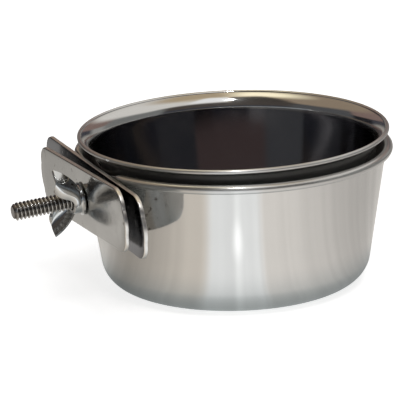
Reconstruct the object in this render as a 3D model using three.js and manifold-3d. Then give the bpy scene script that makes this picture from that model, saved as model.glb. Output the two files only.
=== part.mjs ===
// Bolt-on bowl: a polished steel feeding dish that lifts out of a steel holder dish.
// The holder carries two clamp plates, a threaded bolt and a pressed wing nut, which grip the bars of a cage.
// Millimetres, +Z up, origin at the middle of the holder dish's underside, bolt pointing along -X.
import * as THREE from 'three';
import { mergeVertices } from 'three/addons/utils/BufferGeometryUtils.js';
import Module from 'manifold-3d';

// Holder dish
const holderMouthRadius = 40.7;
const holderBeadHeight = 36;
const holderBeadRadius = 1.2;
const holderTaper = 0.157;
const holderCornerRadius = 7.5;
const holderWall = 0.7;
const foldShare = 0.7;

// Feeding dish
const rimOverhang = 0.8;
const rimRadius = holderMouthRadius + rimOverhang;
const rimRise = 4.8;
const rimHeight = holderBeadHeight + rimRise;
const rimBeadRadius = 0.58;
const flareRadius = 4.2;
const flareTurn = THREE.MathUtils.degToRad(62);
const dishTaper = 0.16;
const dishCornerRadius = 7;
const dishWall = 0.6;
const dishLean = THREE.MathUtils.degToRad(0.6);

// Clamp
const clampDrop = 8.2;
const clampHeight = holderBeadHeight - clampDrop;
const pressDepth = 0.75;
const clampReach = holderMouthRadius - pressDepth;
const clampDroop = THREE.MathUtils.degToRad(4);
const plateThickness = 1.1;
const plateHeight = 17;
const plateCornerRadius = 5;
const plateEndBulge = 0.9;
const backPlateLength = 75;
const frontPlateLength = 66;
const frontPlateTurn = THREE.MathUtils.degToRad(2.8);
const clampOpening = 2.2;

// Bolt
const boltDiameter = 4.8;
const threadPitch = 1.058;
const threadDepth = 0.65;
const threadRunout = 1;
const crestShare = 0.115;
const boltReach = 22.4;
const boltTipRadius = 1.6;

// Wing nut
const hubHeight = 2.9;
const hubRadius = 3.6;
const footRadius = 4.4;
const footHeight = 0.8;
const earThickness = 0.8;
const earSpan = 9.5;
const earReach = 8.4;
const earWidth = 5;
const earFlare = THREE.MathUtils.degToRad(9);
const tipSlant = 0.3;
const shoulderShare = 0.7;
const throatShare = 0.3;
const bowShare = 0.75;

// Clearances
const seatGap = 0.3;
const boreClearance = 0.2;
const plateHoleClearance = 0.3;

// Mesh fineness
const dishSegments = 64;
const beadSteps = 12;
const cornerSteps = 6;
const flareSteps = 5;
const wallSteps = 5;
const boltSides = 18;
const stepsPerPitch = 5;
const hubSegments = 32;
const curveSteps = 6;
const weldTolerance = 1e-4;

const wasm = await Module();
wasm.setup();

const polished = new THREE.MeshStandardMaterial({ color: 0xb9b8b4, metalness: 1, roughness: 0.12 });
const polishedInside = new THREE.MeshStandardMaterial({ color: 0xa9a6a1, metalness: 1, roughness: 0.1 });
const satinSheet = new THREE.MeshStandardMaterial({ color: 0xa8a49e, metalness: 1, roughness: 0.32 });
const rolledThread = new THREE.MeshStandardMaterial({ color: 0x8a8580, metalness: 1, roughness: 0.35 });
const pressedSheet = new THREE.MeshStandardMaterial({ color: 0x9c9a96, metalness: 1, roughness: 0.2 });

// Points on an arc about a centre, from one angle to another.
function arc(centre, radius, from, to, steps) {
  const points = [];
  for (let i = 0; i <= steps; i += 1) {
    const angle = from + (to - from) * i / steps;
    points.push(new THREE.Vector2(centre.x + radius * Math.cos(angle), centre.y + radius * Math.sin(angle)));
  }
  return points;
}

// Points between two ends, without the ends themselves.
function between(start, end, steps) {
  const points = [];
  for (let i = 1; i < steps; i += 1) points.push(start.clone().lerp(end, i / steps));
  return points;
}

// A profile of radius against height, turned about the vertical axis.
function turned(profile) {
  const geometry = new THREE.LatheGeometry(profile, dishSegments);
  geometry.rotateX(Math.PI / 2);
  return geometry;
}

// The centre of the rounded corner that joins a flat floor to a tapered wall.
function cornerCentre(wallRadius, wallHeight, taper, floor, radius) {
  const height = floor + radius;
  const wallThere = wallRadius - taper * (wallHeight - height);
  return new THREE.Vector2(wallThere - radius / Math.cos(Math.atan(taper)), height);
}

// Local axes of the clamp: x along the bolt and away from the dish, y along the plates, z up the plates.
const clamp = new THREE.Group();
clamp.position.set(-clampReach, 0, clampHeight);
clamp.rotation.set(0, clampDroop, Math.PI, 'ZYX');
clamp.updateMatrix();
const boltDirection = new THREE.Vector3(1, 0, 0).transformDirection(clamp.matrix);

// Holder dish: a drawn shell with a rolled bead, pressed flat where the back plate is welded on.
function holderDish() {
  const lean = Math.atan(holderTaper);
  const corner = cornerCentre(holderMouthRadius, holderBeadHeight, holderTaper, 0, holderCornerRadius);
  const beadCentre = new THREE.Vector2(
    holderMouthRadius - holderWall / Math.cos(lean) + holderBeadRadius, holderBeadHeight);
  const junction = Math.acos((holderBeadRadius - holderWall) / holderBeadRadius);
  const outerCorner = arc(corner, holderCornerRadius, -Math.PI / 2, -lean, cornerSteps);
  const bead = arc(beadCentre, holderBeadRadius, Math.PI - lean + junction, 3 * Math.PI - lean, beadSteps);
  const innerCorner = arc(corner, holderCornerRadius - holderWall, -lean, -Math.PI / 2, cornerSteps);
  const outerWall = between(outerCorner.at(-1), bead[0], wallSteps);
  const innerWall = between(bead.at(-1), innerCorner[0], wallSteps);
  const outside = [new THREE.Vector2(0, 0), ...outerCorner, ...outerWall];
  const inside = [...innerWall, ...innerCorner, new THREE.Vector2(0, holderWall)];
  const profile = [...outside, ...bead, ...inside];
  const beadOutermost = beadCentre.x + holderBeadRadius;
  const depths = [
    ...outside.map(() => 0),
    ...bead.map((point) => holderWall * (beadOutermost - point.x) / (2 * holderBeadRadius)),
    ...inside.map(() => holderWall),
  ];
  const geometry = turned(profile);
  pressFlat(geometry, depths, beadOutermost);
  return geometry;
}

// Moves the wall and bead back to the welded plate's plane, and folds the rim down behind the plate.
function pressFlat(geometry, depths, beadOutermost) {
  const foldStart = clampHeight;
  const position = geometry.getAttribute('position');
  const origin = new THREE.Vector3(-clampReach, 0, clampHeight);
  const flatAtBead = flatReach(holderBeadHeight);
  const point = new THREE.Vector3();
  for (let i = 0; i < position.count; i += 1) {
    point.fromBufferAttribute(position, i);
    const depth = depths[i % depths.length];
    const facing = -point.x / Math.max(Math.hypot(point.x, point.y), weldTolerance);
    const fold = foldShare * Math.max(0, beadOutermost * facing - flatAtBead);
    if (point.z > foldStart) {
      point.z -= fold * (point.z - foldStart) / (holderBeadHeight - foldStart);
    }
    const excess = point.clone().sub(origin).dot(boltDirection) + plateThickness + seatGap + depth;
    if (excess > 0) point.addScaledVector(boltDirection, -excess);
    position.setXYZ(i, point.x, point.y, point.z);
  }
}

// How far the pressed flat lies from the dish's axis at a height.
function flatReach(height) {
  return clampReach + (height - clampHeight) * Math.tan(clampDroop)
    - (plateThickness + seatGap) / Math.cos(clampDroop);
}

// Feeding dish: a drawn shell whose mouth flares out to a small hemmed rim.
function feedingDish() {
  const lean = Math.atan(dishTaper);
  const beadCentre = new THREE.Vector2(rimRadius - rimBeadRadius, rimHeight);
  const flareEnd = Math.PI - lean - flareTurn;
  const middleRadius = flareRadius + dishWall / 2;
  const flareCentre = new THREE.Vector2(
    beadCentre.x - middleRadius * Math.cos(flareEnd), beadCentre.y - middleRadius * Math.sin(flareEnd));
  const neck = new THREE.Vector2(
    flareCentre.x - flareRadius * Math.cos(lean), flareCentre.y + flareRadius * Math.sin(lean));
  const halfGrip = Math.asin(dishWall / 2 / rimBeadRadius);
  const trim = rimBeadRadius * Math.cos(halfGrip) / middleRadius;
  const floor = dishFloor(neck);
  const corner = cornerCentre(neck.x, neck.y, dishTaper, floor, dishCornerRadius);
  const outerCorner = arc(corner, dishCornerRadius, -Math.PI / 2, -lean, cornerSteps);
  const outerFlare = arc(flareCentre, flareRadius, Math.PI - lean, flareEnd + trim, flareSteps);
  const backward = flareEnd + Math.PI / 2;
  const bead = arc(beadCentre, rimBeadRadius, backward + halfGrip, backward + 2 * Math.PI - halfGrip, beadSteps);
  const innerFlare = arc(flareCentre, flareRadius + dishWall, flareEnd + trim, Math.PI - lean, flareSteps);
  const innerCorner = arc(corner, dishCornerRadius - dishWall, -lean, -Math.PI / 2, cornerSteps);
  return turned([
    new THREE.Vector2(0, floor), ...outerCorner, ...outerFlare, ...bead.slice(1, -1),
    ...innerFlare, ...innerCorner, new THREE.Vector2(0, floor + dishWall),
  ]);
}

// Height of the feeding dish's underside: it stands on the holder's floor at the low end of its lean.
function dishFloor(neck) {
  const lowest = holderWall + seatGap;
  const flatRadius = cornerCentre(neck.x, neck.y, dishTaper, lowest, dishCornerRadius).x;
  return lowest + flatRadius * Math.sin(dishLean);
}

// A clamp plate: a rounded rectangle with slightly bowed ends and a bolt hole.
function clampPlate(length) {
  const side = length / 2 - plateEndBulge;
  const half = plateHeight / 2;
  const straight = half - plateCornerRadius;
  const inset = side - plateCornerRadius;
  const quarter = Math.PI / 2;
  const shape = new THREE.Shape();
  shape.moveTo(-inset, -half);
  shape.lineTo(inset, -half);
  shape.absarc(inset, -straight, plateCornerRadius, -quarter, 0);
  shape.quadraticCurveTo(length / 2 + plateEndBulge, 0, side, straight);
  shape.absarc(inset, straight, plateCornerRadius, 0, quarter);
  shape.lineTo(-inset, half);
  shape.absarc(-inset, straight, plateCornerRadius, quarter, 2 * quarter);
  shape.quadraticCurveTo(-length / 2 - plateEndBulge, 0, -side, -straight);
  shape.absarc(-inset, -straight, plateCornerRadius, 2 * quarter, 3 * quarter);
  shape.closePath();
  const hole = new THREE.Path();
  hole.absarc(0, 0, boltDiameter / 2 + plateHoleClearance, 0, 2 * Math.PI, true);
  shape.holes.push(hole);
  return standing(new THREE.ExtrudeGeometry(shape, {
    depth: plateThickness, bevelEnabled: false, curveSegments: curveSteps,
  }));
}

// Turns a flat outline so that its depth lies along the bolt, its width along the plates and its height up.
function standing(geometry) {
  const basis = new THREE.Matrix4().makeBasis(
    new THREE.Vector3(0, 1, 0), new THREE.Vector3(0, 0, 1), new THREE.Vector3(1, 0, 0));
  return geometry.applyMatrix4(basis);
}

// The bolt's radius at a place along it and an angle round it: a right-hand thread with a chamfered tip.
function boltRadius(along, angle) {
  const turns = along / threadPitch - angle / (2 * Math.PI);
  const wave = Math.abs(2 * (turns - Math.floor(turns)) - 1);
  const groove = THREE.MathUtils.clamp((wave - crestShare) / (1 - 2 * crestShare), 0, 1);
  const begun = THREE.MathUtils.smoothstep(along, 0, threadRunout);
  const chamfer = boltTipRadius + boltReach - along;
  return Math.min(boltDiameter / 2 - threadDepth * groove * begun, chamfer);
}

// The bolt: rings of points along the local x axis, closed by a cap at each end.
function threadedBolt() {
  const length = boltReach + plateThickness;
  const rings = Math.round(length / threadPitch * stepsPerPitch);
  const vertices = [];
  const indices = [];
  for (let ring = 0; ring <= rings; ring += 1) {
    const along = -plateThickness + length * ring / rings;
    for (let side = 0; side < boltSides; side += 1) {
      const angle = 2 * Math.PI * side / boltSides;
      const radius = boltRadius(along, angle);
      vertices.push(along, radius * Math.cos(angle), radius * Math.sin(angle));
    }
  }
  const corner = (ring, side) => ring * boltSides + side % boltSides;
  for (let ring = 0; ring < rings; ring += 1) {
    for (let side = 0; side < boltSides; side += 1) {
      const [a, b] = [corner(ring, side), corner(ring, side + 1)];
      const [c, d] = [corner(ring + 1, side), corner(ring + 1, side + 1)];
      indices.push(a, b, d, a, d, c);
    }
  }
  const startCap = vertices.length / 3;
  vertices.push(-plateThickness, 0, 0, boltReach, 0, 0);
  for (let side = 0; side < boltSides; side += 1) {
    indices.push(startCap, corner(0, side + 1), corner(0, side));
    indices.push(startCap + 1, corner(rings, side), corner(rings, side + 1));
  }
  const geometry = new THREE.BufferGeometry();
  geometry.setAttribute('position', new THREE.Float32BufferAttribute(vertices, 3));
  geometry.setIndex(indices);
  return geometry;
}

// One ear of the wing nut, outlined along the bolt and up the plate, and flared away from the bolt.
// Its root is sunk in the hub, and its tip stands clear of the hub's face.
function nutEar() {
  const outerEdge = hubRadius - earThickness;
  const root = -hubRadius / 2;
  const sunk = footHeight / 4;
  const shoulder = shoulderShare * hubRadius;
  const throat = throatShare * hubRadius;
  const shape = new THREE.Shape();
  shape.moveTo(sunk, root);
  shape.lineTo(sunk, shoulder);
  shape.quadraticCurveTo(hubHeight / 2, bowShare * earSpan, earReach - tipSlant, earSpan);
  shape.lineTo(earReach, earSpan - earWidth);
  shape.quadraticCurveTo(bowShare * earReach, throat, hubHeight + 2 * tipSlant, throat);
  shape.quadraticCurveTo(hubHeight, throat, hubHeight - sunk, root);
  shape.closePath();
  const geometry = new THREE.ExtrudeGeometry(shape, {
    depth: earThickness, bevelEnabled: false, curveSegments: curveSteps,
  });
  const basis = new THREE.Matrix4().makeBasis(
    new THREE.Vector3(1, 0, 0), new THREE.Vector3(0, 0, 1), new THREE.Vector3(0, -1, 0));
  geometry.applyMatrix4(basis);
  geometry.translate(0, hubRadius, 0);
  geometry.translate(0, -outerEdge, 0);
  geometry.rotateZ(earFlare);
  geometry.translate(0, outerEdge, 0);
  return geometry;
}

// A closed geometry as a solid that can be joined and cut.
function solid(geometry) {
  const bare = geometry.clone();
  bare.deleteAttribute('normal');
  bare.deleteAttribute('uv');
  const merged = mergeVertices(bare, weldTolerance);
  return new wasm.Manifold(new wasm.Mesh({
    numProp: 3,
    vertProperties: new Float32Array(merged.getAttribute('position').array),
    triVerts: new Uint32Array(merged.getIndex().array),
  }));
}

// A solid as a geometry again.
function surface(body) {
  const mesh = body.getMesh();
  const geometry = new THREE.BufferGeometry();
  geometry.setAttribute('position', new THREE.BufferAttribute(new Float32Array(mesh.vertProperties), 3));
  geometry.setIndex(new THREE.BufferAttribute(new Uint32Array(mesh.triVerts), 1));
  return geometry;
}

// The wing nut: a turned hub with a foot, and two ears pressed up from it, one above and one below.
function wingNut() {
  const bore = boltDiameter / 2 + boreClearance;
  const profile = [
    new THREE.Vector2(bore, 0), new THREE.Vector2(footRadius, 0), new THREE.Vector2(footRadius, footHeight / 2),
    new THREE.Vector2(hubRadius, footHeight), new THREE.Vector2(hubRadius, hubHeight),
    new THREE.Vector2(bore, hubHeight), new THREE.Vector2(bore, 0),
  ];
  const hub = new THREE.LatheGeometry(profile, hubSegments);
  hub.rotateZ(-Math.PI / 2);
  const upper = nutEar();
  const lower = upper.clone().rotateX(Math.PI);
  return surface(solid(hub).add(solid(upper)).add(solid(lower)));
}

function piece(name, geometry, material) {
  const mesh = new THREE.Mesh(geometry, material);
  mesh.name = name;
  return mesh;
}

const bowl = new THREE.Group();
bowl.add(piece('holder_dish', holderDish(), polished));

const leaning = new THREE.Group();
leaning.position.set(0, 0, rimHeight);
leaning.rotation.y = -dishLean;
const dish = piece('feeding_dish', feedingDish(), polishedInside);
dish.position.z = -rimHeight;
leaning.add(dish);
bowl.add(leaning);

const backPlate = piece('back_plate', clampPlate(backPlateLength), satinSheet);
backPlate.position.x = -plateThickness;
const bolt = piece('clamp_bolt', threadedBolt(), rolledThread);
const frontPlate = piece('front_plate', clampPlate(frontPlateLength), satinSheet);
frontPlate.position.x = clampOpening;
frontPlate.rotation.x = frontPlateTurn;
const nut = piece('wing_nut', wingNut(), pressedSheet);
nut.position.x = clampOpening + plateThickness + seatGap;
clamp.add(backPlate, bolt, frontPlate, nut);
bowl.add(clamp);

export default bowl;
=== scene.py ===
import bpy
import bmesh
import math
import mathutils
import numpy as np
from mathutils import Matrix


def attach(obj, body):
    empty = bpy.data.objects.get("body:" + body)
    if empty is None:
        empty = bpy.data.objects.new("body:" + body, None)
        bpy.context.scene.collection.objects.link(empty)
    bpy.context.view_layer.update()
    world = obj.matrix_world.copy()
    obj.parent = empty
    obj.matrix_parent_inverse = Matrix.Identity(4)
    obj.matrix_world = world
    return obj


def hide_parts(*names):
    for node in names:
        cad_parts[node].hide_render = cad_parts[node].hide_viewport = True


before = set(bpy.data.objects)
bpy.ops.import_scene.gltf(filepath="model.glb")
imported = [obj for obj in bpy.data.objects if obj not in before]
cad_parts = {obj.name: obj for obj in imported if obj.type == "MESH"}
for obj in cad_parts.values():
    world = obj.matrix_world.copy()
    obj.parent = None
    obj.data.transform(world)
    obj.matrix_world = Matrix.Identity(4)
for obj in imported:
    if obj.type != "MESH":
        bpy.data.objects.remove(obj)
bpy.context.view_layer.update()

# The camera
# It stands a little above the rim, 22 degrees round to the clamp's side, with a long lens. Its small roll is
# the photograph's own. Angles are in radians and lengths in metres, and the lens is in millimetres.
VIEW_TURN = -0.38269
VIEW_LIFT = 0.25825
VIEW_ROLL = -0.02661
VIEW_DISTANCE = 0.83
VIEW_CENTRE_HEIGHT = 0.0408
VIEW_AIM_ASIDE = -0.0092566
VIEW_AIM_HEIGHT = 0.0217161
LENS = 280.954

across = np.array([math.cos(VIEW_TURN), math.sin(VIEW_TURN), 0.0])
toward_viewer = np.array([math.sin(VIEW_TURN), -math.cos(VIEW_TURN), 0.0])
upward = np.array([0.0, 0.0, 1.0])
eye = VIEW_DISTANCE * (toward_viewer * math.cos(VIEW_LIFT) + upward * math.sin(VIEW_LIFT))
eye = eye + upward * VIEW_CENTRE_HEIGHT
aim = across * VIEW_AIM_ASIDE + upward * VIEW_AIM_HEIGHT
forward = (aim - eye) / np.linalg.norm(aim - eye)
sideways = np.cross(forward, upward)
sideways /= np.linalg.norm(sideways)
lifted = np.cross(sideways, forward)
right = math.cos(VIEW_ROLL) * sideways + math.sin(VIEW_ROLL) * lifted
top = math.cos(VIEW_ROLL) * lifted - math.sin(VIEW_ROLL) * sideways


def placed(x_axis, y_axis, z_axis, origin):
    """The matrix of an object whose own three axes and origin are these: they are its four columns."""
    matrix = np.eye(4)
    matrix[:3] = np.stack([x_axis, y_axis, z_axis, origin], -1)
    return mathutils.Matrix(matrix.tolist())


camera = bpy.data.objects.new("camera", bpy.data.cameras.new("camera"))
camera.data.lens = LENS
camera.data.sensor_width = 36.0
camera.data.clip_start = 0.01
camera.data.clip_end = 50.0
camera.matrix_world = placed(right, top, -forward, eye)
bpy.context.scene.collection.objects.link(camera)
bpy.context.scene.camera = camera
bpy.context.scene.view_settings.view_transform = "Standard"


# The floor and the light
# White paper lies under the bowl, and a glowing tent of painted reflections and two lamps stand round it.
# Polished steel shows only what is round it, so these give the dishes their tones, and what the steel sees
# of the paper and the tent is painted light and shade. From here on, the sizes of meshes are in millimetres,
# and the places in materials and of lamps are in metres.
FLOOR_REACH = 3000.0
FLOOR_DROP = 0.05
MERGED_WITHIN = 0.0001
EMPTY_UNDER = 0.00001


def surface(name, grid, closed_along=False, closed_round=False, sharp=40.0):
    """A grid of points in millimetres as a mesh of quads: each cell joins four neighbours,
    the grid closes on itself where asked, and points that coincide are merged."""
    rows, columns = grid.shape[:2]
    index = np.arange(rows * columns).reshape(rows, columns)
    if closed_along:
        index = np.vstack([index, index[:1]])
    if closed_round:
        index = np.hstack([index, index[:, :1]])
    quads = np.stack([index[:-1, :-1], index[:-1, 1:], index[1:, 1:], index[1:, :-1]], -1)
    mesh = bpy.data.meshes.new(name)
    mesh.from_pydata(grid.reshape(-1, 3) * 0.001, [], quads.reshape(-1, 4).tolist())
    shape = bmesh.new()
    shape.from_mesh(mesh)
    bmesh.ops.remove_doubles(shape, verts=shape.verts, dist=MERGED_WITHIN * 0.001)
    bmesh.ops.dissolve_degenerate(shape, edges=shape.edges, dist=EMPTY_UNDER * 0.001)
    bmesh.ops.recalc_face_normals(shape, faces=shape.faces)
    shape.to_mesh(mesh)
    shape.free()
    mesh.polygons.foreach_set("use_smooth", np.ones(len(mesh.polygons), bool))
    mesh.set_sharp_from_angle(angle=math.radians(sharp))
    made = bpy.data.objects.new(name, mesh)
    bpy.context.scene.collection.objects.link(made)
    return made


def fresh(name):
    """A new material with an empty node tree, and that tree."""
    made = bpy.data.materials.new(name)
    made.use_nodes = True
    made.node_tree.nodes.clear()
    return made, made.node_tree


def linear(code):
    """An sRGB hex colour as linear red, green, blue and 1: each channel by the sRGB curve."""
    channels = np.array([int(code[i:i + 2], 16) for i in (0, 2, 4)]) / 255.0
    low, high = channels / 12.92, ((channels + 0.055) / 1.055) ** 2.4
    return (*np.where(channels <= 0.04045, low, high).tolist(), 1.0)


def add(tree, kind, inputs=(), **settings):
    """Adds a node. The settings are its properties. The inputs, in order or by name, are its sockets' values,
    the sockets to link, or the nodes to link, each by its first output that is in use."""
    made = tree.nodes.new(kind)
    for key, value in settings.items():
        setattr(made, key, value)
    for key, value in inputs.items() if isinstance(inputs, dict) else enumerate(inputs):
        if isinstance(value, bpy.types.Node):
            value = next(output for output in value.outputs if output.enabled)
        if isinstance(value, bpy.types.NodeSocket):
            tree.links.new(value, made.inputs[key])
        else:
            made.inputs[key].default_value = value
    return made


def from_viewer(tree, scale):
    """Places as the viewer has them, scaled: the turned place, how far aside it is to the right, how much
    nearer than the bowl's middle, how high, and its bearing, which is 0 in front and grows to the right."""
    place = add(tree, "ShaderNodeTexCoord").outputs["Object"]
    turned = add(tree, "ShaderNodeMapping", {
        "Vector": place, "Rotation": (0.0, 0.0, -VIEW_TURN), "Scale": (scale, scale, scale)})
    aside, farther, height = add(tree, "ShaderNodeSeparateXYZ", (turned,)).outputs
    nearer = add(tree, "ShaderNodeMath", (farther, -1.0), operation="MULTIPLY")
    bearing = add(tree, "ShaderNodeMath", (aside, nearer), operation="ARCTAN2")
    return turned, aside, nearer, height, bearing


def within(tree, *edges):
    """How far a place lies within some edges: the product of a smooth step at each of them. An edge is what
    is measured, where its step starts and where it ends, and the two ends' values if they aren't 0 and 1."""
    share, *others = (
        add(tree, "ShaderNodeMapRange", edge, interpolation_type="SMOOTHSTEP") for edge in edges)
    for step in others:
        share = add(tree, "ShaderNodeMath", (share, step), operation="MULTIPLY")
    return share


def laid_over(tree, colour, *patches):
    """A colour with patches laid over it in turn, each with its own colour and the edges that it lies within.
    Colours are hex values or nodes."""
    for patch, *edges in patches:
        below, above = (linear(tone) if isinstance(tone, str) else tone for tone in (colour, patch))
        colour = add(tree, "ShaderNodeMix", {
            "Factor": within(tree, *edges), "A": below, "B": above}, data_type="RGBA")
    return colour


# The paper. What the steel sees of it is painted light, a glow that no lamp casts: a painted pool of light,
# brightest in a wedge straight in front, with a narrow painted beam and a small painted glint. Painted shade
# lies close to the dish, and the glow is dimmer at the sides and far off. Faint painted streaks of light and
# shade run out from the dish like folds, each as wide as given at a distance from the dish's middle.
FOLD_WIDTH = 14.0
FOLD_AWAY = 98.0
BEAM_BEARING = 0.02
GLINT_ASIDE = 0.0015
GLINT_NEARER = 0.070
GLINT_NARROWING = 2.4

ends = np.array([-1.0, 1.0]) * FLOOR_REACH
floor = surface("floor", np.stack([
    *np.meshgrid(ends, ends, indexing="ij"), np.full((2, 2), -FLOOR_DROP)], -1))
paper, tree = fresh("white_paper")
turned, _, nearer, _, bearing = from_viewer(tree, 1.0)
away = add(tree, "ShaderNodeVectorMath", (turned,), operation="LENGTH")
beam_side = add(tree, "ShaderNodeMath", (bearing, BEAM_BEARING), operation="SUBTRACT")
off_beam = add(tree, "ShaderNodeMath", (beam_side,), operation="ABSOLUTE")
glint_side = add(tree, "ShaderNodeVectorMath", (
    turned, (GLINT_NARROWING, 1.0, 0.0), (-GLINT_NARROWING * GLINT_ASIDE, GLINT_NEARER, 0.0)),
    operation="MULTIPLY_ADD")
off_glint = add(tree, "ShaderNodeVectorMath", (glint_side,), operation="LENGTH")
wedge = (bearing, -0.36, -0.22), (bearing, 0.32, 0.22)
painted_shade_edges = (away, 0.056, 0.028)
strength = 0.0
for edges in (
        ((bearing, -1.30, -0.25, 0.50, 1.00),),   # dimmer towards the left
        ((bearing, -1.85, -1.30, 0.24, 0.00),),   # lighter again at the far left
        ((bearing, -2.25, -1.85, -0.14, 0.00),),  # and a little dimmer behind that
        ((bearing, 0.25, 0.29, 0.00, 0.17),),     # a lighter part with a clear edge on the right
        ((bearing, 0.20, 1.70, 0.00, -0.45),),    # dimmer towards the right
        ((*wedge[0], 0.00, 0.32), wedge[1]),      # the wedge
        ((off_beam, 0.00, 0.06, 0.14, 0.00),),    # the beam
        ((off_glint, 0.00, 0.014, 0.50, 0.00),)):  # the glint
    strength = add(tree, "ShaderNodeMath", (strength, within(tree, *edges)), operation="ADD")
painted_fold_streaks = add(tree, "ShaderNodeTexNoise", {"W": bearing, "Scale": FOLD_AWAY / FOLD_WIDTH, "Detail": 2.0},
            noise_dimensions="1D")
facing = add(tree, "ShaderNodeMath", (nearer, away), operation="DIVIDE")
painted_far_dimming = within(tree, (facing, -0.92, -0.70, 0.40, 0.25))
for shape, *step in (
        ("SMOOTHSTEP", painted_fold_streaks, 0.30, 0.70, 0.96, 1.04),  # the folds
        ("SMOOTHSTEP", *painted_shade_edges, 1.00, 0.40),            # the dish's own shade
        ("LINEAR", away, 0.14, 0.26, 1.00, painted_far_dimming)):   # the dark farther off
    factor = add(tree, "ShaderNodeMapRange", step, interpolation_type=shape)
    strength = add(tree, "ShaderNodeMath", (strength, factor), operation="MULTIPLY")
# The tint of the painted light, cooler in the painted shade near the dish.
tone = laid_over(
    tree, "fffaf3", ("fff6ea", (bearing, -1.8, -1.2)), ("fffaf4", (bearing, -0.3, 0.3)),
    ("fdfefe", *wedge), ("f2fafa", painted_shade_edges))
painted_light_for_steel = add(tree, "ShaderNodeEmission", (tone, strength))

# What the camera sees of it is matt white, which keeps the soft shadow of the dish.
path = add(tree, "ShaderNodeLightPath").outputs
glow = add(tree, "ShaderNodeMath", (
    within(tree, (away, 0.10, 0.30, 0.74, 1.04)), path["Is Camera Ray"]), operation="MULTIPLY")
white = add(tree, "ShaderNodeEmission", (linear("ffffff"), glow))
matt = add(tree, "ShaderNodeBsdfDiffuse", {"Color": linear("f7f6f5")})
plain = add(tree, "ShaderNodeAddShader", (matt, white))
both = add(tree, "ShaderNodeMixShader", (path["Is Glossy Ray"], plain, painted_light_for_steel))
add(tree, "ShaderNodeOutputMaterial", (both,))
floor.data.materials.append(paper)

# The tent is a glowing dome that only the steel sees, no lamp and no cloth: painted reflections of the light
# and shade round the bowl, tan and cream on the left and pale on the right, over a dark skirt of painted
# shade. Places on it are shares of its radius.
TENT_RADIUS = 2500.0
TENT_STRENGTH = 1.3

tent_turn = np.linspace(0.0, 2.0 * np.pi, 97)[:-1][:, None]
tent_lift = np.linspace(math.radians(-4.0), math.radians(90.0), 33)[None, :]
tent = surface("tent", TENT_RADIUS * np.stack([
    np.cos(tent_turn) * np.cos(tent_lift), np.sin(tent_turn) * np.cos(tent_lift),
    np.sin(tent_lift) + 0.0 * tent_turn], -1), closed_along=True)
painted_surroundings, tree = fresh("painted_reflection_tent")
_, aside, nearer, height, bearing = from_viewer(tree, 1000.0 / TENT_RADIUS)
crown = laid_over(
    tree, "f6eacb",                        # cream on the left
    ("b8a68a", (aside, -0.12, 0.08)),      # tan on the right
    ("cbbca2", (nearer, 0.00, 0.25)))      # light tan towards the viewer
walls = laid_over(
    tree, "988876",                        # tan on the left
    ("e4e1dc", (aside, -0.25, 0.50)),      # pale on the right
    (crown, (height, 0.80, 0.94)),
    # painted light: a white opening in front on the right
    ("ffffff", (bearing, 0.03, 0.10), (bearing, 0.85, 0.62),     # a white opening in front on the right
     (height, 0.62, 0.76), (height, 0.985, 0.93)),
    # painted shade: an unlit part in front on the left
    ("2e2d2e", (bearing, -1.15, -0.85), (bearing, 0.04, -0.04),  # an unlit part in front on the left
     (height, 0.94, 0.985, 0.90, 0.00)))
dusk = laid_over(
    tree, "84706a",                        # brown behind the bowl
    ("4a4440", (nearer, -0.10, 0.20)))     # dark brown towards the viewer
seam = within(tree, (nearer, 0.10, 0.70, 0.00, 0.16))
above_seam = add(tree, "ShaderNodeMath", (height, seam), operation="SUBTRACT")
whole = laid_over(
    tree, "3c3e45",                        # a dark foot all round
    ("9c9b98", (aside, 0.35, 0.55)),       # with grey at the back on the right
    ("222327", (aside, -0.45, -0.60)),     # and darker at the back on the left
    ("3c3e45", (nearer, -0.50, -0.35)),    # but not farther forward
    (dusk, (height, 0.25, 0.30)),
    ("9a9690", (nearer, -0.82, -0.95), (height, 0.20, 0.10)),    # a low grey strip right behind
    ("545557", (aside, -0.65, -0.80), (nearer, -0.50, -0.35)),   # grey at the left side
    ("7c7d7c", (aside, 0.68, 0.84), (nearer, 0.55, 0.42)),       # and paler at the right side
    ("a0a7ad", (bearing, -1.20, -1.00), (bearing, 0.35, 0.15),   # a low pale strip in front
     (height, 0.16, 0.10)),
    (walls, (above_seam, 0.40, 0.56)))
# A painted brighter top on the left of the tent.
painted_bright_top = within(tree, (height, 0.88, 0.97, 0.00, 0.70), (aside, 0.08, -0.12))
strength = add(tree, "ShaderNodeMath", (painted_bright_top, TENT_STRENGTH), operation="ADD")
painted_glow = add(tree, "ShaderNodeEmission", (whole, strength))
add(tree, "ShaderNodeOutputMaterial", (painted_glow,))
tent.data.materials.append(painted_surroundings)
tent.visible_camera = False
tent.visible_diffuse = False
tent.visible_shadow = False
tent.visible_transmission = False

# The world is white to the camera and in mirrors, and gives the shadows a little light.
SHADOW_LIGHT = 0.15
world = bpy.data.worlds.new("studio")
bpy.context.scene.world = world
world.use_nodes = True
tree = world.node_tree
tree.nodes.clear()
path = add(tree, "ShaderNodeLightPath").outputs
seen = add(tree, "ShaderNodeMath", (path["Is Camera Ray"], path["Is Glossy Ray"]), operation="MAXIMUM")
seen = add(tree, "ShaderNodeMath", (seen, path["Is Transmission Ray"]), operation="MAXIMUM")
strength = add(tree, "ShaderNodeMath", (seen, 1.0 - SHADOW_LIGHT, SHADOW_LIGHT), operation="MULTIPLY_ADD")
sky = add(tree, "ShaderNodeBackground", (linear("ffffff"), strength))
add(tree, "ShaderNodeOutputWorld", (sky,))


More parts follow.
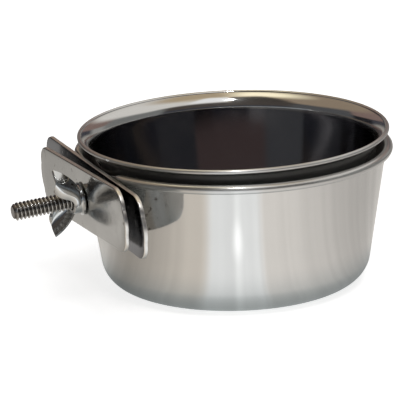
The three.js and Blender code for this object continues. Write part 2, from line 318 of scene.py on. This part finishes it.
def lamp(name, spot, goal, power, size, glossy):
    """A round soft lamp at a spot, turned to a goal, both in metres in the camera's own directions:
    across, away from the viewer and up. It lights either the polished metal or the matt paper."""
    made = bpy.data.objects.new(name, bpy.data.lights.new(name, "AREA"))
    made.data.shape = "DISK"
    made.data.size = size
    made.data.energy = power
    start, end = (across * x - toward_viewer * y + upward * z for x, y, z in (spot, goal))
    back = (start - end) / np.linalg.norm(start - end)
    beside = np.cross([0.0, 1.0, 0.001], back)
    beside /= np.linalg.norm(beside)
    made.matrix_world = placed(beside, np.cross(back, beside), back, start)
    made.visible_glossy, made.visible_diffuse = glossy, not glossy
    bpy.context.scene.collection.objects.link(made)


lamp("key", (0.15, -0.25, 0.9), (0.0, 0.0, 0.0), 3.4, 0.7, False)
lamp("flash", (0.012, -0.46, 0.75), (0.0, 0.0, 0.03), 1.8, 0.07, True)


# The holder dish
# The outer dish is drawn from stainless sheet and mirror polished, and its mouth is rolled outwards into a
# bead. Where the back plate is welded on, the wall and the bead are pressed flat and the bead is folded down.
MOUTH_RADIUS = 40.7
BEAD_HEIGHT = 36.0
BEAD_RADIUS = 1.2
HOLDER_TAPER = 0.157
HOLDER_CORNER = 7.5
HOLDER_WALL = 0.7
HOLDER_MIDDLE = 20.0
FOLD_SHARE = 0.7
FOLD_ROUNDING = 0.15
FLAT_ROUNDING = 0.16
CLAMP_HEIGHT = 27.8
CLAMP_REACH = 39.95
CLAMP_DROOP = math.radians(4.0)
PLATE_THICKNESS = 1.1
SEAT_GAP = 0.3
ROUND_STEPS = 384

outward = np.array([-math.cos(CLAMP_DROOP), 0.0, -math.sin(CLAMP_DROOP)])
clamp_origin = np.array([-CLAMP_REACH, 0.0, CLAMP_HEIGHT])


def arc(centre, radius, start, end, count):
    """Points on a circle about a centre: centre plus radius times the cosine and sine of each angle."""
    angle = np.linspace(start, end, count)
    return np.stack([centre[0] + radius * np.cos(angle), centre[1] + radius * np.sin(angle)], -1)


def straight(start, end, count):
    """Points on a line from start to end, without its ends, so that neighbours can give theirs."""
    share = np.linspace(0.0, 1.0, count + 2)[1:-1, None]
    return np.asarray(start) * (1.0 - share) + np.asarray(end) * share


def corner_centre(wall_radius, wall_height, taper, floor_height, radius):
    """The centre of the round corner between a flat floor and a tapered wall: one radius from both."""
    height = floor_height + radius
    there = wall_radius - taper * (wall_height - height)
    return np.array([there - radius / math.cos(math.atan(taper)), height])


def turned_about_z(profile, count):
    """A profile of radius and height carried round the vertical axis: x and y are the radius times
    the cosine and sine of the turn, z is the height."""
    turn = np.linspace(0.0, 2.0 * np.pi, count + 1)[:-1, None]
    return np.stack([profile[:, 0] * np.cos(turn), profile[:, 0] * np.sin(turn),
                     profile[:, 1] + 0.0 * turn], -1)


def holder_profile():
    """The section of the holder dish from the middle of its underside, up the outside, round the bead,
    down the inside and back to the axis, with each point's depth under the outer skin."""
    lean = math.atan(HOLDER_TAPER)
    corner = corner_centre(MOUTH_RADIUS, BEAD_HEIGHT, HOLDER_TAPER, 0.0, HOLDER_CORNER)
    bead_centre = (MOUTH_RADIUS - HOLDER_WALL / math.cos(lean) + BEAD_RADIUS, BEAD_HEIGHT)
    junction = math.acos((BEAD_RADIUS - HOLDER_WALL) / BEAD_RADIUS)
    outer_corner = arc(corner, HOLDER_CORNER, -math.pi / 2, -lean, 28)
    bead = arc(bead_centre, BEAD_RADIUS, math.pi - lean + junction, 3 * math.pi - lean, 44)
    inner_corner = arc(corner, HOLDER_CORNER - HOLDER_WALL, -lean, -math.pi / 2, 20)
    outside = np.vstack([[[0.0, 0.0]], straight((0, 0), outer_corner[0], 6), outer_corner,
                         straight(outer_corner[-1], bead[0], 40)])
    inside = np.vstack([straight(bead[-1], inner_corner[0], 24), inner_corner,
                        straight(inner_corner[-1], (0, HOLDER_WALL), 6), [[0.0, HOLDER_WALL]]])
    outermost = bead_centre[0] + BEAD_RADIUS
    bead_depth = HOLDER_WALL * (outermost - bead[:, 0]) / (2 * BEAD_RADIUS)
    depth = np.concatenate([np.zeros(len(outside)), bead_depth, np.full(len(inside), HOLDER_WALL)])
    return np.vstack([outside, bead, inside]), depth, outermost


def soft_step(value, width):
    """Zero below zero and the value itself above, rounded over a width: width times the logarithm
    of one plus the exponential of value over width."""
    return width * np.logaddexp(0.0, value / width)


def pressed_flat(points, depth, outermost):
    """Moves what stands past the back plate's plane to just behind it, after folding the rim down
    in proportion to how far it is pushed."""
    x, y, z = points[..., 0], points[..., 1], points[..., 2]
    flat_at_bead = (CLAMP_REACH + (BEAD_HEIGHT - CLAMP_HEIGHT) * math.tan(CLAMP_DROOP)
                    - (PLATE_THICKNESS + SEAT_GAP) / math.cos(CLAMP_DROOP))
    facing = -x / np.maximum(np.hypot(x, y), 1e-6)
    fold = FOLD_SHARE * soft_step(outermost * facing - flat_at_bead, FOLD_ROUNDING)
    share = np.clip((z - CLAMP_HEIGHT) / (BEAD_HEIGHT - CLAMP_HEIGHT), 0.0, None)
    points = np.stack([x, y, z - fold * share], -1)
    excess = (points - clamp_origin) @ outward + PLATE_THICKNESS + SEAT_GAP + depth
    return points - outward * soft_step(excess, FLAT_ROUNDING)[..., None]


profile, depth, outermost = holder_profile()
holder = surface("holder_dish_polished", pressed_flat(turned_about_z(profile, ROUND_STEPS), depth, outermost),
                 closed_along=True)

# Stainless steel polished on a spinning wheel is a mirror under a thin veil of fine marks that run round the
# dish, so that the veil spreads light up and down. The marks are a few hundredths of a millimetre wide, which
# is too fine to show, so they are drawn coarser. The clouds are the slow unevenness of a hand's pressure. A
# span is the two values of a pattern between which its effect grows from one end to the other.
MARK_WIDTH = 0.3846
MARK_SWEEP = 0.03
MARK_DEPTH = 0.02
CLOUD_WIDTH = 11.11
CLOUD_SPAN = 0.35, 0.70
POLISH_ROUGHNESS = 0.06, 0.12
VEIL_ROUGHNESS = 0.42
VEIL_SHARES = 0.04, 0.85
BEAD_SATIN = 0.55


def polished_steel(name):
    """The dishes' steel. Its marks are a noise that changes fast with the distance from the axis plus the
    height, and slowly round the dish. Faces marked satin have more of the veil, up to the second of its
    shares. Faces marked with painted shade are darker, as painted shade in the hollow of the feeding dish,
    and have none of the veil."""
    made, tree = fresh(name)
    place = add(tree, "ShaderNodeTexCoord").outputs["Object"]
    level_part = add(tree, "ShaderNodeVectorMath", (place, (1.0, 1.0, 0.0)), operation="MULTIPLY")
    radius = add(tree, "ShaderNodeVectorMath", (level_part,), operation="LENGTH")
    raised = add(tree, "ShaderNodeCombineXYZ", {"Z": radius})
    swept = add(tree, "ShaderNodeVectorMath", (place, (MARK_SWEEP, MARK_SWEEP, 1.0), raised),
                operation="MULTIPLY_ADD")
    marks = add(tree, "ShaderNodeTexNoise", {
        "Vector": swept, "Scale": 1000.0 / MARK_WIDTH, "Detail": 3.0, "Roughness": 0.6})
    clouds = add(tree, "ShaderNodeTexNoise", {
        "Vector": place, "Scale": 1000.0 / CLOUD_WIDTH, "Detail": 4.0, "Roughness": 0.55})
    painted_shade, satin = (add(tree, "ShaderNodeAttribute", attribute_name=mark).outputs["Fac"]
                   for mark in ("painted_shade", "satin"))
    tint = linear("c6c6c5")
    for share, colour in (clouds, "c0c0bf"), (painted_shade, "9a9a9e"):
        tint = add(tree, "ShaderNodeMix", {"Factor": share, "A": tint, "B": linear(colour)}, data_type="RGBA")
    dulled = add(tree, "ShaderNodeMapRange", (clouds, *CLOUD_SPAN, *POLISH_ROUGHNESS),
                 interpolation_type="SMOOTHSTEP")
    relief = add(tree, "ShaderNodeBump", {"Height": marks, "Strength": 0.08, "Distance": MARK_DEPTH * 0.001})
    around = add(tree, "ShaderNodeTangent", direction_type="RADIAL", axis="Z")
    wheeled = {"Base Color": tint, "Metallic": 1.0, "Anisotropic Rotation": 0.25, "Tangent": around}
    mirror = add(tree, "ShaderNodeBsdfPrincipled", {
        **wheeled, "Roughness": dulled, "Anisotropic": 0.5, "Normal": relief})
    veil = add(tree, "ShaderNodeBsdfPrincipled", {**wheeled, "Roughness": VEIL_ROUGHNESS, "Anisotropic": 0.7})
    veiled = add(tree, "ShaderNodeMapRange", (satin, 0.0, 1.0, *VEIL_SHARES), interpolation_type="SMOOTHSTEP")
    unshaded_share = add(tree, "ShaderNodeMath", (1.0, painted_shade), operation="SUBTRACT")
    share = add(tree, "ShaderNodeMath", (veiled, unshaded_share), operation="MULTIPLY")
    both = add(tree, "ShaderNodeMixShader", (share, mirror, veil))
    add(tree, "ShaderNodeOutputMaterial", (both,))
    return made


def faces(made):
    """The centres in millimetres and the normals of a mesh's faces."""
    values = np.empty((2, len(made.data.polygons) * 3))
    made.data.polygons.foreach_get("center", values[0])
    made.data.polygons.foreach_get("normal", values[1])
    return values[0].reshape(-1, 3) * 1000.0, values[1].reshape(-1, 3)


def facing_middle(centres, normals, height):
    """Which faces of a dish are on its inside: those whose normals point towards its middle, at a height."""
    return np.sum(normals * (centres - [0.0, 0.0, height]), 1) < 0.0


def marked(made, name, chosen):
    """Writes a share on each face, or 1 on the chosen ones and 0 on the others, for the material to read."""
    made.data.attributes.new(name, "FLOAT", "FACE").data.foreach_set("value", np.asarray(chosen, float))


# The feeding dish hides the inside, which is left as drawn, and the bead is polished less than the wall.
centres, normals = faces(holder)
bead = centres[:, 2] > BEAD_HEIGHT - BEAD_RADIUS
marked(holder, "satin", np.where(facing_middle(centres, normals, HOLDER_MIDDLE), 1.0, BEAD_SATIN * bead))
dish_steel = polished_steel("polished_stainless")
holder.data.materials.append(dish_steel)
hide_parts("holder_dish")
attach(holder, "holder")


# The feeding dish
# The inner dish is drawn from slightly thinner sheet. Its mouth flares out over the holder's bead and ends
# in a small hemmed rim, which the fingers lift it by. It leans a little in the holder, as in the photograph.
RIM_RADIUS = 41.5
RIM_TOP = 40.8
RIM_BEAD = 0.58
FLARE_RADIUS = 4.2
FLARE_TURN = math.radians(62.0)
DISH_TAPER = 0.16
DISH_CORNER = 7.0
DISH_WALL = 0.6
DISH_MIDDLE = 25.0
WALL_BOW = 0.25
WALL_BOW_SKEW = 0.7
DISH_LEAN = math.radians(0.6)


def feeding_profile():
    """The section of the feeding dish from the middle of its underside, up the outside, along the flare,
    round the hem, and down the inside, which bows out by a skewed sine, to the axis."""
    lean = math.atan(DISH_TAPER)
    bead_centre = np.array([RIM_RADIUS - RIM_BEAD, RIM_TOP])
    flare_end = math.pi - lean - FLARE_TURN
    middle = FLARE_RADIUS + DISH_WALL / 2
    flare_centre = bead_centre - middle * np.array([math.cos(flare_end), math.sin(flare_end)])
    neck = flare_centre + FLARE_RADIUS * np.array([-math.cos(lean), math.sin(lean)])
    grip = math.asin(DISH_WALL / 2 / RIM_BEAD)
    trim = RIM_BEAD * math.cos(grip) / middle
    lowest = HOLDER_WALL + SEAT_GAP
    flat = corner_centre(neck[0], neck[1], DISH_TAPER, lowest, DISH_CORNER)[0]
    base = lowest + flat * math.sin(DISH_LEAN)
    corner = corner_centre(neck[0], neck[1], DISH_TAPER, base, DISH_CORNER)
    outer_corner = arc(corner, DISH_CORNER, -math.pi / 2, -lean, 24)
    outer_flare = arc(flare_centre, FLARE_RADIUS, math.pi - lean, flare_end + trim, 30)
    back = flare_end + math.pi / 2
    bead = arc(bead_centre, RIM_BEAD, back + grip, back + 2 * math.pi - grip, 32)[1:-1]
    inner_flare = arc(flare_centre, FLARE_RADIUS + DISH_WALL, flare_end + trim, math.pi - lean, 30)
    inner_corner = arc(corner, DISH_CORNER - DISH_WALL, -lean, -math.pi / 2, 24)
    wall = straight(inner_flare[-1], inner_corner[0], 60)
    fall = np.linspace(0.0, 1.0, 62)[1:-1]
    wall[:, 0] += WALL_BOW * np.sin(np.pi * fall ** WALL_BOW_SKEW)
    return np.vstack([
        [[0.0, base]], straight((0, base), outer_corner[0], 6), outer_corner,
        straight(outer_corner[-1], outer_flare[0], 24), outer_flare, bead, inner_flare,
        wall, inner_corner,
        straight(inner_corner[-1], (0, base + DISH_WALL), 8), [[0.0, base + DISH_WALL]]])


def leaned(points):
    """Points turned about the rim's middle so that the side away from the clamp rises."""
    x, z = points[..., 0], points[..., 2] - RIM_TOP
    cosine, sine = math.cos(DISH_LEAN), math.sin(DISH_LEAN)
    return np.stack([x * cosine - z * sine, points[..., 1], RIM_TOP + x * sine + z * cosine], -1)


dish = surface("feeding_dish_polished", leaned(turned_about_z(feeding_profile(), ROUND_STEPS)),
               closed_along=True)
dish.data.materials.append(dish_steel)

# The inside is darkened with painted shade as far up as the flare. The outside has more of the veil than
# the holder dish, most of all in the neck under the flare, where the wheel hardly reaches, and on the hem.
PAINTED_SHADE_HEIGHT = 37.2
SKIN_RADIUS = 40.3
SKIN_SATIN = 0.35
NECK_SATIN = 0.65
NECK_HEIGHT = 38.5
NECK_WIDTH = 0.7
HEM_SATIN = 0.8
HEM_WIDTH = 1.6 * RIM_BEAD

centres, normals = faces(dish)
inside = facing_middle(centres, normals, DISH_MIDDLE)
marked(dish, "painted_shade", inside & (centres[:, 2] < PAINTED_SHADE_HEIGHT))
reach = np.hypot(centres[:, 0], centres[:, 1])
skin = SKIN_SATIN + NECK_SATIN * np.exp(-((centres[:, 2] - NECK_HEIGHT) / NECK_WIDTH) ** 2)
hem = HEM_SATIN * (reach > RIM_RADIUS - HEM_WIDTH)
marked(dish, "satin", np.where(~inside & (reach < SKIN_RADIUS), skin, hem))
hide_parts("feeding_dish")
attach(dish, "dish")


# The clamp plates
# Two plates stamped from thicker sheet and tumbled, which leaves faint pits and a satin skin.
# The punch rounds one edge of each plate, and the hole for the bolt is punched with them.
PLATE_HEIGHT = 17.0
PLATE_CORNER = 5.0
END_BULGE = 0.9
BACK_LENGTH = 75.0
FRONT_LENGTH = 66.0
FRONT_TURN = math.radians(2.8)
CLAMP_OPENING = 2.2
BOLT_DIAMETER = 4.8
HOLE_CLEARANCE = 0.3
ROUNDED_EDGE = 0.35
CRISP_EDGE = 0.15
RING_SPACING = 1.3

along_plates = np.array([0.0, -1.0, 0.0])
up_plates = np.cross(outward, along_plates)


def in_clamp(points, turn=0.0):
    """Local points along the bolt, along the plates and up them, turned about the bolt and set in place."""
    x, y, z = points[..., 0], points[..., 1], points[..., 2]
    y2, z2 = y * math.cos(turn) - z * math.sin(turn), y * math.sin(turn) + z * math.cos(turn)
    return clamp_origin + x[..., None] * outward + y2[..., None] * along_plates + z2[..., None] * up_plates


def plate_outline(length, count):
    """A rounded rectangle whose ends bow out: quarter circles at the corners joined by straight sides
    and shallow parabolas, respaced evenly along its length."""
    side, half = length / 2 - END_BULGE, PLATE_HEIGHT / 2
    inset, flat = side - PLATE_CORNER, half - PLATE_CORNER
    quarter = math.pi / 2
    t = np.linspace(0.0, 1.0, 40)[1:-1]
    bow = length / 2 + END_BULGE
    bend = np.stack([(1 - t) ** 2 * side + 2 * t * (1 - t) * bow + t ** 2 * side, -flat + 2 * flat * t], -1)
    right_end = np.vstack([arc((inset, -flat), PLATE_CORNER, -quarter, 0.0, 40), bend,
                           arc((inset, flat), PLATE_CORNER, 0.0, quarter, 40)])
    whole = np.vstack([right_end, -right_end, right_end[:1]])
    reach = np.concatenate([[0.0], np.cumsum(np.hypot(*np.diff(whole, axis=0).T))])
    even = np.linspace(0.0, reach[-1], count + 1)[:-1]
    return np.stack([np.interp(even, reach, whole[:, 0]), np.interp(even, reach, whole[:, 1])], -1)


def plate_grid(length, near, count=520):
    """A plate as one closed band: for each outline point the section runs from the hole out over the
    front face, round the two edges, and back under to the hole. Edges are quarter circles."""
    outline = plate_outline(length, count)
    heading = np.roll(outline, -1, 0) - np.roll(outline, 1, 0)
    heading /= np.linalg.norm(heading, axis=1)[:, None]
    inward = np.stack([-heading[:, 1], heading[:, 0]], -1)
    angle = np.arctan2(outline[:, 1], outline[:, 0])
    spoke = np.stack([np.cos(angle), np.sin(angle)], -1)
    hole = BOLT_DIAMETER / 2 + HOLE_CLEARANCE
    hole_ring = spoke * (hole + CRISP_EDGE)
    quarter = np.linspace(0.0, math.pi / 2, 6)
    spacing = np.linspace(0.0, 1.0, 14) ** RING_SPACING
    section = []
    for share in spacing:
        ring = hole_ring * (1 - share) + (outline + inward * ROUNDED_EDGE) * share
        section.append((PLATE_THICKNESS, ring))
    for turn in quarter[1:]:
        section.append((PLATE_THICKNESS - ROUNDED_EDGE * (1 - math.cos(turn)),
                        outline + inward * ROUNDED_EDGE * (1 - math.sin(turn))))
    for turn in quarter:
        section.append((CRISP_EDGE * (1 - math.sin(turn)),
                        outline + inward * CRISP_EDGE * (1 - math.cos(turn))))
    for share in spacing[-2::-1]:
        ring = hole_ring * (1 - share) + (outline + inward * CRISP_EDGE) * share
        section.append((0.0, ring))
    for turn in quarter[1:]:
        section.append((CRISP_EDGE * (1 - math.cos(turn)),
                        spoke * (hole + CRISP_EDGE * (1 - math.sin(turn)))))
    for turn in quarter[:-1]:
        section.append((PLATE_THICKNESS - CRISP_EDGE * (1 - math.sin(turn)),
                        spoke * (hole + CRISP_EDGE * (1 - math.cos(turn)))))
    return np.stack([np.column_stack([np.full(len(ring), near + x), ring]) for x, ring in section])


back_plate = surface("back_plate_stamped", in_clamp(plate_grid(BACK_LENGTH, -PLATE_THICKNESS)),
                     closed_along=True, closed_round=True)
front_plate = surface("front_plate_stamped", in_clamp(plate_grid(FRONT_LENGTH, CLAMP_OPENING), FRONT_TURN),
                      closed_along=True, closed_round=True)

# Stainless sheet tumbled with stones is a soft mirror with smudges some millimetres wide, and with dark pits
# under a millimetre wide, which are the peaks of a speckled noise. The stones leave a grain of about a tenth
# of a millimetre, which is too fine to show, so it is drawn coarser.
SMUDGE_WIDTH = 6.25
SMUDGE_SPAN = 0.35, 0.70
SPECK_WIDTH = 2.381
PIT_SPAN = 0.66, 0.72
PIT_DEPTH = 0.06
GRAIN_WIDTH = 0.6667
GRAIN_SHARE = 0.15
CUT_ROUGHNESS = 0.2
EDGE_FACING = 0.8


def tumbled_steel(name, tones, roughness):
    """The plates' and the nut's steel, from one tone and roughness to another across its smudges. Faces
    marked as cut edges keep the rougher skin that the punch leaves and are paler, as a painted highlight
    on the edges. Faces marked as shade between the plates are darkened, as painted shade."""
    made, tree = fresh(name)
    place = add(tree, "ShaderNodeTexCoord").outputs["Object"]
    smudges, grain, specks = (add(tree, "ShaderNodeTexNoise", {
        "Vector": place, "Scale": 1000.0 / width, "Detail": detail, "Roughness": 0.6})
        for width, detail in ((SMUDGE_WIDTH, 5.0), (GRAIN_WIDTH, 3.0), (SPECK_WIDTH, 2.0)))
    pits = add(tree, "ShaderNodeMapRange", (specks, *PIT_SPAN), interpolation_type="SMOOTHSTEP")
    shade_between_plates, edge_highlight = (add(tree, "ShaderNodeAttribute", attribute_name=mark).outputs["Fac"]
                   for mark in ("shade_between_plates", "cut_edge_highlight"))
    tint = linear(tones[0])
    for share, colour in (smudges, tones[1]), (pits, "6a6460"), (shade_between_plates, "686a70"), (edge_highlight, "cfcdca"):
        tint = add(tree, "ShaderNodeMix", {"Factor": share, "A": tint, "B": linear(colour)}, data_type="RGBA")
    smudged = add(tree, "ShaderNodeMapRange", (smudges, *SMUDGE_SPAN, *roughness),
                  interpolation_type="SMOOTHSTEP")
    dulled = add(tree, "ShaderNodeMath", (edge_highlight, CUT_ROUGHNESS, smudged), operation="MULTIPLY_ADD")
    raised = add(tree, "ShaderNodeMath", (grain, GRAIN_SHARE), operation="MULTIPLY")
    height = add(tree, "ShaderNodeMath", (raised, pits), operation="SUBTRACT")
    relief = add(tree, "ShaderNodeBump", {"Height": height, "Strength": 0.35, "Distance": PIT_DEPTH * 0.001})
    skin = add(tree, "ShaderNodeBsdfPrincipled", {
        "Base Color": tint, "Metallic": 1.0, "Roughness": dulled, "Normal": relief})
    add(tree, "ShaderNodeOutputMaterial", (skin,))
    return made


plate_steel = tumbled_steel("tumbled_stainless_sheet", ("b0b0ae", "a0a09e"), (0.10, 0.20))
for plate, node_name, body in ((back_plate, "back_plate", "holder"), (front_plate, "front_plate", "jaw")):
    plate.data.materials.append(plate_steel)
    facing = faces(plate)[1] @ outward
    # The cut edges are painted paler, as a painted highlight, besides being rougher.
    marked(plate, "cut_edge_highlight", np.abs(facing) < EDGE_FACING)
    # The back plate's face towards the front plate is darkened, as painted shade between the plates.
    marked(plate, "shade_between_plates", (facing >= EDGE_FACING) & (plate is back_plate))
    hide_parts(node_name)
    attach(plate, body)


# The clamp bolt
# A stainless bolt with a rolled right-hand thread of 24 turns to the inch, welded into the back plate.
# Rolling leaves rounded crests. The crests are painted bright, as painted highlight, and the grooves
# brown-grey, as painted shade.
THREAD_PITCH = 1.058
THREAD_DEPTH = 0.65
THREAD_RUNOUT = 1.0
CREST_SHARE = 0.115
FLANK_SHARE = 0.77
FLANK_ROUNDING = 0.45
BOLT_REACH = 22.4
TIP_RADIUS = 1.6
END_RINGS = 0.85, 0.5, 0.0


def bolt_grid(sides=72, per_pitch=18):
    """The bolt's skin: at each place along it and each turn round it, the radius falls into the groove
    by a rounded wave whose phase is the place over the pitch less the turn. The tip is a cone, and rings
    of smaller and smaller shares of the radius close both ends."""
    length = BOLT_REACH + PLATE_THICKNESS
    rings = int(length / THREAD_PITCH * per_pitch)
    place = np.linspace(-PLATE_THICKNESS, BOLT_REACH, rings)[:, None]
    turn = np.linspace(0.0, 2.0 * np.pi, sides + 1)[:-1][None, :]
    phase = place / THREAD_PITCH - turn / (2.0 * np.pi)
    wave = np.abs(2.0 * (phase - np.floor(phase)) - 1.0)
    groove = np.clip((wave - CREST_SHARE) / FLANK_SHARE, 0.0, 1.0)
    rounded = groove * groove * (3.0 - 2.0 * groove)
    groove = (1.0 - FLANK_ROUNDING) * groove + FLANK_ROUNDING * rounded
    begun = np.clip(place / THREAD_RUNOUT, 0.0, 1.0)
    radius = BOLT_DIAMETER / 2 - THREAD_DEPTH * groove * begun
    radius = np.minimum(radius, TIP_RADIUS + (BOLT_REACH - place) + 0.0 * turn)
    skin = np.stack([place + 0.0 * turn, radius * np.cos(turn), radius * np.sin(turn)], -1)
    face = np.array(END_RINGS)[:, None]
    tip = np.stack([BOLT_REACH + 0.0 * face * turn, face * radius[-1] * np.cos(turn),
                    face * radius[-1] * np.sin(turn)], -1)
    tail = np.stack([-PLATE_THICKNESS + 0.0 * face * turn, face[::-1] * radius[0] * np.cos(turn),
                     face[::-1] * radius[0] * np.sin(turn)], -1)
    return np.concatenate([tail, skin, tip])


bolt = surface("clamp_bolt_threaded", in_clamp(bolt_grid()), closed_round=True, sharp=60.0)

# Rolling leaves a grain of about a tenth of a millimetre, which is too fine to show, so it is drawn coarser.
ROLLED_GRAIN_WIDTH = 0.7692
ROLLED_GRAIN_SPAN = 0.30, 0.70
ROLLED_GRAIN_DEPTH = 0.03
ROLLED_ROUGHNESS = 0.18, 0.34
GROOVE_RADIUS = 1.85
CREST_RADIUS = 2.35


def rolled_steel(name):
    """Rolled stainless thread with a fine grain. By distance from the bolt's axis it is painted brighter on
    the crests, as painted highlight, and brown-grey in the grooves, as painted shade."""
    made, tree = fresh(name)
    place = add(tree, "ShaderNodeTexCoord").outputs["Object"]
    offset = add(tree, "ShaderNodeVectorMath", (place, clamp_origin * 0.001), operation="SUBTRACT")
    off_axis = add(tree, "ShaderNodeVectorMath", (offset, outward), operation="CROSS_PRODUCT")
    radius = add(tree, "ShaderNodeVectorMath", (off_axis,), operation="LENGTH")
    crest_light_groove_shade = add(tree, "ShaderNodeMapRange", (radius, GROOVE_RADIUS * 0.001, CREST_RADIUS * 0.001))
    grain = add(tree, "ShaderNodeTexNoise", {
        "Vector": place, "Scale": 1000.0 / ROLLED_GRAIN_WIDTH, "Detail": 3.0, "Roughness": 0.6})
    tint = add(tree, "ShaderNodeMix", {
        "Factor": crest_light_groove_shade, "A": linear("706c69"), "B": linear("cacac9")}, data_type="RGBA")
    dulled = add(tree, "ShaderNodeMapRange", (grain, *ROLLED_GRAIN_SPAN, *ROLLED_ROUGHNESS))
    relief = add(tree, "ShaderNodeBump", {
        "Height": grain, "Strength": 0.3, "Distance": ROLLED_GRAIN_DEPTH * 0.001})
    skin = add(tree, "ShaderNodeBsdfPrincipled", {
        "Base Color": tint, "Metallic": 1.0, "Roughness": dulled, "Normal": relief})
    add(tree, "ShaderNodeOutputMaterial", (skin,))
    return made


bolt.data.materials.append(rolled_steel("rolled_stainless_thread"))
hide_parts("clamp_bolt")
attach(bolt, "holder")


# The wing nut
# The nut is pressed from one strip: a collar drawn up in the middle for the thread, and two ears bent up
# beside it, one rising and one hanging. Each ear is dished, with its round side away from the bolt.
NUT_SEAT = CLAMP_OPENING + PLATE_THICKNESS + SEAT_GAP
BORE_CLEARANCE = 0.2
NUT_BORE = BOLT_DIAMETER / 2 + BORE_CLEARANCE
HUB_RADIUS = 3.6
HUB_HEIGHT = 2.9
FOOT_RADIUS = 4.4
FOOT_HEIGHT = 0.8
FOOT_ROUNDING = 0.2
WAIST_ROUNDING = 0.75
LIP_ROUNDING = 0.42
BORE_ROUNDING = 0.25
EAR_THICKNESS = 0.8
EAR_FLARE = math.radians(9.0)
EAR_DISH = 1.4
EAR_ROOT_FLATNESS = 0.6
EAR_TILT = 0.24
EAR_INSET = 0.45
EAR_EDGE = 0.18


def hub_grid(sides=96):
    """The collar's section carried round the bolt: a foot that spreads on the plate, a waist, a rounded lip
    and the bore."""
    half_pi = math.pi / 2
    foot = FOOT_RADIUS - FOOT_ROUNDING
    section = np.vstack([
        [[NUT_BORE, 0.0]], straight((NUT_BORE, 0.0), (foot, 0.0), 3),
        arc((foot, FOOT_ROUNDING), FOOT_ROUNDING, -half_pi, 0.0, 5),
        arc((FOOT_RADIUS, FOOT_HEIGHT + FOOT_ROUNDING), WAIST_ROUNDING, -half_pi, -math.pi, 7)[1:],
        arc((HUB_RADIUS - LIP_ROUNDING, HUB_HEIGHT - LIP_ROUNDING), LIP_ROUNDING, 0.0, half_pi, 8),
        arc((NUT_BORE + BORE_ROUNDING, HUB_HEIGHT - BORE_ROUNDING), BORE_ROUNDING, half_pi, math.pi, 6),
        straight((NUT_BORE, HUB_HEIGHT - BORE_ROUNDING), (NUT_BORE, 0.0), 4)])
    turn = np.linspace(0.0, 2.0 * np.pi, sides + 1)[:-1][None, :]
    return np.stack([NUT_SEAT + section[:, 1:] + 0.0 * turn, section[:, :1] * np.cos(turn),
                     section[:, :1] * np.sin(turn)], -1)


def ear_grid(half_turn, rows=48, columns=40):
    """One ear as a sheet between a lower and an upper edge. Both edges are smooth curves through named
    points along the bolt and up the plate. Across the ear the sheet bulges by a parabola that grows towards
    the tip, and the whole sheet leans away from the bolt and faces a little upwards."""
    t = np.linspace(0.0, 1.0, rows)
    knots = np.linspace(0.0, 1.0, 5)
    upper = np.array([[0.25, 0.6], [1.1, 3.6], [3.0, 6.3], [5.3, 8.3], [7.4, 9.5]])
    lower = np.array([[2.6, -1.4], [3.1, 0.7], [4.6, 1.6], [6.4, 2.5], [7.8, 4.4]])
    smooth = [np.polynomial.Polynomial.fit(knots, edge[:, part], 4)(t)
              for edge in (lower, upper) for part in (0, 1)]
    low = np.stack(smooth[:2], -1)[:, None, :]
    high = np.stack(smooth[2:], -1)[:, None, :]
    share = np.linspace(0.0, 1.0, columns)[None, :, None]
    flat = low * (1 - share) + high * share
    axial, rise = flat[..., 0], flat[..., 1]
    growth = 1.0 - EAR_ROOT_FLATNESS * (1.0 - t[:, None]) ** 2
    bulge = EAR_DISH * 4.0 * share[..., 0] * (1 - share[..., 0]) * growth
    aside = HUB_RADIUS - EAR_THICKNESS / 2 + axial * math.tan(EAR_FLARE) - EAR_INSET + bulge
    aside = aside - EAR_TILT * rise
    sheet = np.stack([NUT_SEAT + axial, aside, rise], -1)
    return sheet * np.array([1.0, half_turn, half_turn])


nut = surface("wing_nut_pressed", in_clamp(hub_grid()), closed_round=True)
ears = []
for half_turn in (1.0, -1.0):
    ear = surface("ear", in_clamp(ear_grid(half_turn)))
    solid = ear.modifiers.new("sheet", "SOLIDIFY")
    solid.thickness = EAR_THICKNESS * 0.001
    solid.offset = 0.0
    solid.material_offset_rim = 1
    rounding = ear.modifiers.new("edge", "BEVEL")
    rounding.width = EAR_EDGE * 0.001
    rounding.segments = 3
    rounding.limit_method = "ANGLE"
    rounding.angle_limit = math.radians(50.0)
    ears.append(ear)
reading = bpy.context.evaluated_depsgraph_get()
joined = bmesh.new()
joined.from_mesh(nut.data)
for ear in ears:
    baked = bpy.data.meshes.new_from_object(ear.evaluated_get(reading))
    joined.from_mesh(baked)
    bpy.data.objects.remove(ear)
    bpy.data.meshes.remove(baked)
joined.to_mesh(nut.data)
joined.free()
nut.data.polygons.foreach_set("use_smooth", np.ones(len(nut.data.polygons), bool))
nut.data.set_sharp_from_angle(angle=math.radians(45.0))

# The strip's cut edges are the ears' rims, which the thickening has put in a second material slot, and the
# collar's lip: the faces near its top that look along the bolt. The slot is cleared once it has been read.
LIP_BAND = 0.2
LIP_FACING = 0.7

rim = np.empty(len(nut.data.polygons), int)
nut.data.polygons.foreach_get("material_index", rim)
centres, normals = faces(nut)
high_up = (centres - clamp_origin) @ outward > NUT_SEAT + HUB_HEIGHT - LIP_BAND
# The ears' rims and the lip are painted paler than the rest, as a painted highlight.
marked(nut, "cut_edge_highlight", (rim == 1) | (high_up & (normals @ outward > LIP_FACING)))
nut.data.polygons.foreach_set("material_index", 0 * rim)
nut.data.materials.append(tumbled_steel("pressed_stainless", ("d0d2d3", "bec0c1"), (0.12, 0.22)))
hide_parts("wing_nut")
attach(nut, "nut")
